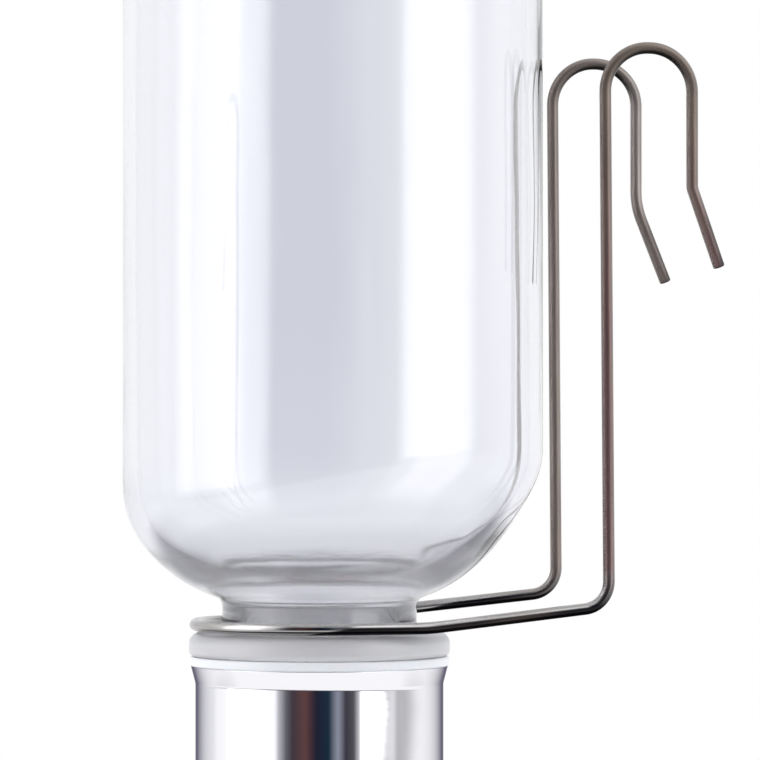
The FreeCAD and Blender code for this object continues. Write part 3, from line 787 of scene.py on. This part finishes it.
CAMERA_TURN = math.radians(-12.0)
CAMERA_HEIGHT = -0.05704
CAMERA_DISTANCE = 0.687
PAN = math.radians(0.774)
TILT = math.radians(0.614)
towards_camera = Vector((math.sin(CAMERA_TURN), -math.cos(CAMERA_TURN), 0))
to_the_right = Vector((math.cos(CAMERA_TURN), math.sin(CAMERA_TURN), 0))
camera_data = bpy.data.cameras.new("camera")
camera_data.sensor_width = 36.0
camera_data.lens = 212.2
camera_data.clip_start = 0.01
camera = bpy.data.objects.new("camera", camera_data)
bpy.context.scene.collection.objects.link(camera)
camera.location = Vector((NECK[0] * MM, 0, CAMERA_HEIGHT)) + towards_camera * CAMERA_DISTANCE
ahead = CAMERA_TURN - PAN
look = Vector((-math.sin(ahead) * math.cos(TILT), math.cos(ahead) * math.cos(TILT),
               math.sin(TILT)))
camera.rotation_mode = "QUATERNION"
camera.rotation_quaternion = look.to_track_quat("-Z", "Y")
bpy.context.scene.camera = camera


# Studio: soft boxes left and right, a dark side behind the camera, a pale backdrop and floor

def studio():
    """A world with the boxes and the backdrop in it. The camera itself sees it white."""
    world = bpy.data.worlds.new("studio")
    bpy.context.scene.world = world
    world.use_nodes = True
    tree = world.node_tree
    tree.nodes.clear()
    direction = add(tree, "ShaderNodeTexCoord").outputs["Generated"]

    def dot(vector):
        node = add(tree, "ShaderNodeVectorMath", operation="DOT_PRODUCT")
        tree.links.new(direction, node.inputs[0])
        node.inputs[1].default_value = vector
        return node.outputs["Value"]

    rightwards, upwards = dot(to_the_right), dot((0, 0, 1))
    turn = maths(tree, "ARCTAN2", rightwards, dot(towards_camera))
    share = remap(tree, turn, -math.pi, math.pi, 0, 1)

    def at(degrees):
        return (degrees + 180) / 360

    backdrop = (0.71, 0.72, 0.79)
    side = (0.95, 0.96, 0.98)
    bright_side = (1.08, 1.08, 1.1)
    box = (2.5, 2.5, 2.55)
    box_edge = (1.25, 1.25, 1.3)
    stops = [
        (at(-177.7), backdrop), (at(-176.9), side), (at(-116), side),
        # The left box and its edges
        (at(-110), bright_side), (at(-97), bright_side), (at(-92), box), (at(-57), box),
        (at(-50), box_edge), (at(-41.5), (1.1, 1.1, 1.14)), (at(-38), (0.5, 0.5, 0.54)),
        # The dark side, with a pale slit
        (at(-31), (0.13, 0.13, 0.15)), (at(-25), (0.055, 0.04, 0.055)),
        (at(-13), (0.12, 0.057, 0.055)), (at(-8), (0.06, 0.033, 0.042)),
        (at(-3), (0.016, 0.017, 0.036)), (at(9), (0.01, 0.028, 0.05)),
        (at(17), (0.28, 0.3, 0.37)), (at(24), (0.045, 0.043, 0.06)),
        (at(32), (0.09, 0.085, 0.1)), (at(37), (0.6, 0.6, 0.62)),
        # The right box and its edges
        (at(41), box), (at(71), box), (at(77), box_edge), (at(84), (1.15, 1.15, 1.2)),
        (at(88), (0.7, 0.7, 0.75)), (at(93), (0.75, 0.75, 0.8)),
        (at(98), bright_side), (at(110), bright_side), (at(116), side), (at(176), side),
        (at(178.3), (0.88, 0.89, 0.93)), (at(179.5), backdrop),
    ]
    seen = add(tree, "ShaderNodeLightPath")
    through_glass = seen.outputs["Is Transmission Ray"]
    bands = ramp(tree, share, stops)
    bands = mix_colour(tree, through_glass, bands, (0.5, 0.5, 0.54), "LIGHTEN")
    # Seen straight through the glass the boxes are no brighter than the sides.
    straight = maths(tree, "LESS_THAN", seen.outputs["Glossy Depth"], 0.5)
    straight = maths(tree, "MULTIPLY", straight, through_glass)
    bands = mix_colour(tree, straight, bands, (0.9, 0.905, 0.93), "DARKEN")
    # A pale sweep starts at the horizon behind the object and lower down in front, where its
    # edge shows as a dark line.
    forwards = dot(towards_camera)
    depth = maths(tree, "ADD", maths(tree, "MULTIPLY", forwards, 0.12), 0.122)
    lower_edge = maths(tree, "SUBTRACT", upwards, maths(tree, "MULTIPLY", rightwards, 0.08))
    drop = maths(tree, "ADD", lower_edge, depth)
    in_metal = mix_colour(tree, remap(tree, drop, 0.0, -0.014, 0, 1), bands, (1.04, 1.04, 1.055))
    in_glass = mix_colour(tree, remap(tree, drop, 0.03, -0.13, 0, 1), bands, (0.88, 0.89, 0.935))
    sweep = mix_colour(tree, through_glass, in_metal, in_glass)
    line = remap(tree, maths(tree, "ABSOLUTE", drop), 0.06, 0.03, 0, 1)
    line = maths(tree, "MULTIPLY", line, remap(tree, forwards, -0.6, 0.6, 0, 0.9))
    line = maths(tree, "MULTIPLY", line, maths(tree, "SUBTRACT", 1.0, through_glass))
    sweep = mix_colour(tree, line, sweep, (0.05, 0.05, 0.06))
    # Under the object it is grey towards the back and dark where it is steepest.
    back = maths(tree, "MULTIPLY", remap(tree, upwards, -0.3, -0.44, 0, 1),
                 remap(tree, forwards, 0.1, -0.4, 0, 1))
    lit = maths(tree, "MAXIMUM", through_glass, seen.outputs["Is Glossy Ray"])
    lower = mix_colour(tree, maths(tree, "MULTIPLY", back, lit), sweep, (0.36, 0.36, 0.39))
    gloom = mix_colour(tree, through_glass, (0.07, 0.07, 0.08), (0.42, 0.42, 0.45))
    steep = remap(tree, upwards, -0.56, -0.68, 0, 1)
    lower = mix_colour(tree, maths(tree, "MULTIPLY", steep, lit), lower, gloom)
    surroundings = mix_colour(tree, remap(tree, upwards, 0.66, 0.86, 0, 1), lower,
                              (0.95, 0.95, 0.97))
    light = add(tree, "ShaderNodeBackground")
    tree.links.new(surroundings, light.inputs["Color"])
    white = add(tree, "ShaderNodeBackground")
    white.inputs["Color"].default_value = (1, 1, 1, 1)
    mixed = add(tree, "ShaderNodeMixShader")
    tree.links.new(seen.outputs["Is Camera Ray"], mixed.inputs[0])
    tree.links.new(light.outputs[0], mixed.inputs[1])
    tree.links.new(white.outputs[0], mixed.inputs[2])
    output = add(tree, "ShaderNodeOutputWorld")
    tree.links.new(mixed.outputs[0], output.inputs["Surface"])


def floor():
    """A pale round of floor that carries the shadow and fades into the white."""
    radius, level, fade_start, fade_end = 0.36, -0.2, 0.16, 0.34
    mesh = bpy.data.meshes.new("studio_floor")
    maker = bmesh.new()
    bmesh.ops.create_circle(maker, cap_ends=True, segments=96, radius=radius)
    maker.to_mesh(mesh)
    maker.free()
    made = bpy.data.objects.new("studio_floor", mesh)
    made.location = (NECK[0] * MM, 0, level)
    bpy.context.scene.collection.objects.link(made)
    material, tree, surface = shader("pale_floor", (0.94, 0.94, 0.95), 0.7)
    away = add(tree, "ShaderNodeVectorMath", operation="LENGTH")
    tree.links.new(place(tree), away.inputs[0])
    fade = remap(tree, away.outputs["Value"], fade_start, fade_end, 0, 1)
    clear = add(tree, "ShaderNodeBsdfTransparent")
    mixed = add(tree, "ShaderNodeMixShader")
    tree.links.new(fade, mixed.inputs[0])
    tree.links.new(surface.outputs[0], mixed.inputs[1])
    tree.links.new(clear.outputs[0], mixed.inputs[2])
    tree.links.new(mixed.outputs[0], tree.nodes["Material Output"].inputs["Surface"])
    made.data.materials.append(material)
    made.visible_glossy = False
    made.visible_transmission = False


studio()
floor()
bpy.context.scene.view_settings.view_transform = "Standard"
